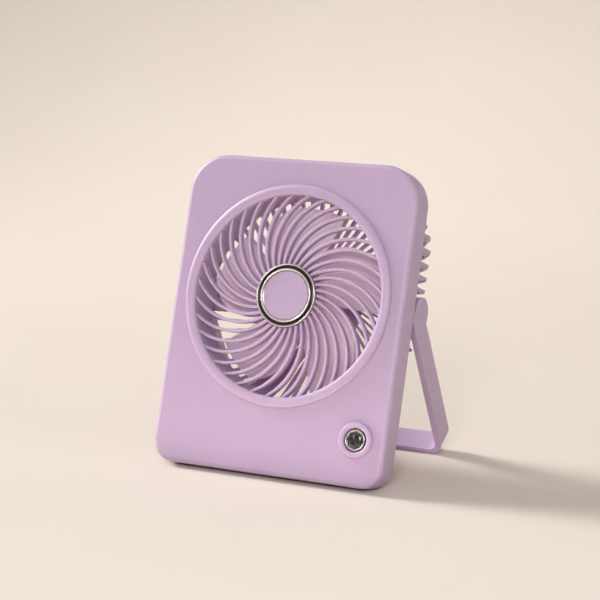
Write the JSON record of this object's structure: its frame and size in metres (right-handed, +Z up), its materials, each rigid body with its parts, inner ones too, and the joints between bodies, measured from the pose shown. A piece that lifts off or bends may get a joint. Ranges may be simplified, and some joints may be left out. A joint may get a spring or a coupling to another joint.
{
  "type": "mini desk fan",
  "caption": "Small rechargeable desk fan: an upright rounded case leaning back on a folding bail, with a ring of swept fins in front of an impeller and a slotted cage behind.",
  "frame": {"origin": "middle of the overall box, on the table", "axes": "+X to the right of someone facing the front, -Y towards the front, +Z up"},
  "size_m": [0.11, 0.085, 0.1345],
  "materials": {
    "lilac_shell": "satin moulded",
    "lilac_grille": "satin moulded",
    "lilac_trim": "satin moulded",
    "lilac_stand": "satin moulded",
    "pale_impeller": "satin moulded",
    "bright_trim": "polished plating",
    "jewel": "cut facets",
    "steel": "drawn",
    "dark_moulding": "matte",
    "board": "solder mask",
    "pouch": "foil",
    "lead": "sleeve"
  },
  "bodies": {
    "case": {"front_shell": "lilac_shell", "rear_shell": "lilac_shell", "front_grille": "lilac_grille", "hub_trim_ring": "bright_trim", "hub_cap": "lilac_trim", "button_collar": "lilac_trim", "rear_grille": "lilac_grille", "motor_can": "steel", "control_board": "board", "button_switch": "dark_moulding", "usb_socket": "steel", "usb_tongue": "dark_moulding", "battery_cell": "pouch", "battery_leads": "lead"},
    "rotor": {"impeller": "pale_impeller", "motor_shaft": "steel"},
    "stand": {"stand_bail": "lilac_stand", "stand_pins": "steel"},
    "button": {"button_cap": "bright_trim", "button_jewel": "jewel", "switch_plunger": "dark_moulding"}
  },
  "joints": [
    {"name": "impeller_spin", "type": "hinge", "parent": "case", "child": "rotor", "pos_m": [0, -0.02017, 0.07732], "axis": [0, -0.9563, 0.2924], "continuous": true},
    {"name": "stand_fold", "type": "hinge", "parent": "case", "child": "stand", "pos_m": [0, 0.0023, 0.07045], "axis": [1, 0, 0], "range_deg": [-47, 0]},
    {"name": "button_press", "type": "slide", "parent": "case", "child": "button", "axis": [0, 0.9563, -0.2924], "range_m": [0, 0.0005], "stiffness_N_per_m": 1500}
  ]
}
